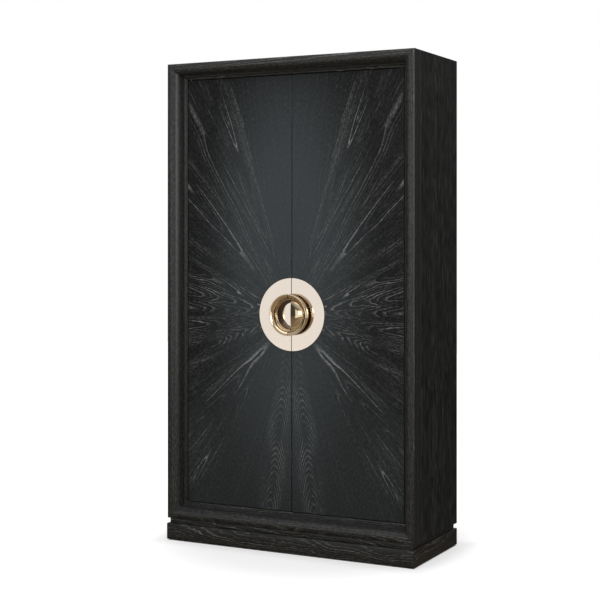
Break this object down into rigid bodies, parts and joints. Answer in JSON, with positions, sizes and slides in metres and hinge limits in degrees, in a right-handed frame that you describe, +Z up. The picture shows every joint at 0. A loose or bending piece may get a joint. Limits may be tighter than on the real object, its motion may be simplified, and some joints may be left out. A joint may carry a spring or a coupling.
{
  "type": "cabinet",
  "caption": "Tall cabinet with inset sunburst-veneered doors in a mitred moulding, a round split plate and pull, shelves inside, and a plain plinth below a recessed reveal.",
  "frame": {"origin": "centre of the floor outline, on the floor", "axes": "+Z up, -Y is the front with the doors, +X to the right when facing the front"},
  "size_m": [1.168, 0.483, 2.083],
  "materials": {
    "cerused_oak": "black-stained open-grain oak, pores filled with pale grey, satin",
    "sunburst_veneer": "black-stained oak veneer laid in rays, pores filled with pale grey, satin",
    "inside_oak": "black-stained oak, satin",
    "back_ply": "black-stained oak-faced plywood, matt",
    "champagne_plate": "pale champagne plate, satin",
    "polished_brass": "polished, lacquered",
    "steel": "zinc-plated",
    "magnet": "nickel-plated",
    "glide_nylon": "moulded"
  },
  "bodies": {
    "carcass": {"side_panel_left": "cerused_oak", "side_panel_right": "cerused_oak", "top_panel": "cerused_oak", "deck_panel": "inside_oak", "head_rail": "inside_oak", "back_panel": "back_ply", "shelf_low": "inside_oak", "shelf_middle": "inside_oak", "shelf_high": "inside_oak", "shelf_pin_left_low_front": "polished_brass", "shelf_pin_left_low_rear": "polished_brass", "shelf_pin_left_high_front": "polished_brass", "shelf_pin_left_high_rear": "polished_brass", "shelf_pin_right_low_front": "polished_brass", "shelf_pin_right_low_rear": "polished_brass", "shelf_pin_right_high_front": "polished_brass", "shelf_pin_right_high_rear": "polished_brass", "frame_left": "cerused_oak", "frame_right": "cerused_oak", "frame_top": "cerused_oak", "frame_bottom": "cerused_oak", "door_stop_top": "inside_oak", "door_stop_bottom": "inside_oak", "magnet_left": "magnet", "magnet_right": "magnet", "fixed_leaf_left_top": "polished_brass", "fixed_leaf_left_bottom": "polished_brass", "fixed_leaf_right_top": "polished_brass", "fixed_leaf_right_bottom": "polished_brass", "reveal_front": "cerused_oak", "reveal_back": "cerused_oak", "reveal_left": "cerused_oak", "reveal_right": "cerused_oak", "plinth_front": "cerused_oak", "plinth_back": "cerused_oak", "plinth_left": "cerused_oak", "plinth_right": "cerused_oak", "glide_front_left": "glide_nylon", "glide_front_right": "glide_nylon", "glide_back_left": "glide_nylon", "glide_back_right": "glide_nylon"},
    "door_left": {"door_panel_left": "sunburst_veneer", "door_leaf_left_top": "polished_brass", "door_leaf_left_bottom": "polished_brass", "plate_left": "champagne_plate", "pull_ring_left": "polished_brass", "pull_dish_left": "polished_brass", "pull_screw_left_upper": "steel", "pull_screw_left_lower": "steel", "strike_left": "steel"},
    "door_right": {"door_panel_right": "sunburst_veneer", "door_leaf_right_top": "polished_brass", "door_leaf_right_bottom": "polished_brass", "plate_right": "champagne_plate", "pull_ring_right": "polished_brass", "pull_dome_right": "polished_brass", "pull_screw_right_upper": "steel", "pull_screw_right_lower": "steel", "strike_right": "steel"}
  },
  "joints": [
    {"name": "door_left_hinge", "type": "hinge", "parent": "carcass", "child": "door_left", "pos_m": [-0.502, -0.1695, 0.165], "axis": [0, 0, -1], "range_deg": [0, 110]},
    {"name": "door_right_hinge", "type": "hinge", "parent": "carcass", "child": "door_right", "pos_m": [0.502, -0.1695, 0.165], "axis": [0, 0, 1], "range_deg": [0, 110]}
  ]
}
